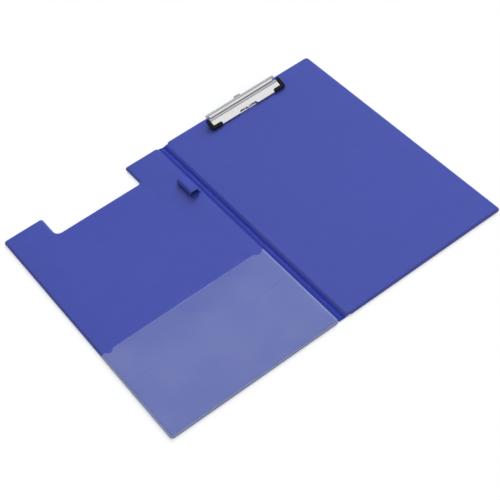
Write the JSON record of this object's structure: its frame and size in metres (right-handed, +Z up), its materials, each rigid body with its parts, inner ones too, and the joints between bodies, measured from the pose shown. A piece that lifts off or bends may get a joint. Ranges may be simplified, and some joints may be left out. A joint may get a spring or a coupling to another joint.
{
  "type": "clipboard folder",
  "caption": "Hinged folder with a stiff writing board, a sprung clip at its top edge and a folding cover that has a notch, a clear pocket and a pen loop.",
  "frame": {"origin": "middle of the open folder's footprint, on the table it lies on", "axes": "+X across the open folder from the cover to the board, +Y up the page towards the clip, +Z up off the table"},
  "size_m": [0.466, 0.3642, 0.0114],
  "materials": {
    "panel_core": "rough greyboard",
    "blue_skin": "fine-grained satin film",
    "clear_film": "clear film",
    "plated_steel": "bright plated",
    "spring_steel": "drawn wire",
    "black_plastic": "satin moulded"
  },
  "bodies": {
    "board": {"board_core": "panel_core", "board_outer_skin": "blue_skin", "board_inner_skin": "blue_skin", "board_side_fold": "blue_skin", "clip_base_plate": "plated_steel", "clip_pivot_pin": "spring_steel", "left_torsion_spring": "spring_steel", "right_torsion_spring": "spring_steel", "left_rivet": "plated_steel", "right_rivet": "plated_steel", "left_rivet_washer": "plated_steel", "right_rivet_washer": "plated_steel"},
    "spine": {"spine_core": "panel_core", "spine_outer_skin": "blue_skin", "spine_inner_skin": "blue_skin", "cover_side_fold": "blue_skin"},
    "cover": {"cover_core": "panel_core", "cover_outer_skin": "blue_skin", "cover_inner_skin": "blue_skin", "pocket_film": "clear_film", "pen_loop": "blue_skin"},
    "jaw": {"clip_jaw": "plated_steel", "left_corner_grip": "black_plastic", "right_corner_grip": "black_plastic"},
    "tab": {"hanging_tab": "plated_steel"}
  },
  "joints": [
    {"name": "spine_fold", "type": "hinge", "parent": "board", "child": "spine", "pos_m": [0.0055, 0, 0.00135], "axis": [0, 1, 0], "range_deg": [-90, 90], "deforming": ["board_side_fold"]},
    {"name": "cover_fold", "type": "hinge", "parent": "spine", "child": "cover", "pos_m": [-0.0055, 0, 0.00135], "axis": [0, 1, 0], "range_deg": [-90, 90], "deforming": ["cover_side_fold"]},
    {"name": "jaw_hinge", "type": "hinge", "parent": "board", "child": "jaw", "pos_m": [0.1195, 0.16823, 0.0063], "axis": [-1, 0, 0], "range_deg": [0, 25], "stiffness_Nm_per_rad": 0.3, "springref_deg": -28.65, "deforming": ["left_torsion_spring", "right_torsion_spring"]},
    {"name": "tab_slide", "type": "slide", "parent": "board", "child": "tab", "axis": [0, 1, 0], "range_m": [0, 0.012]}
  ]
}
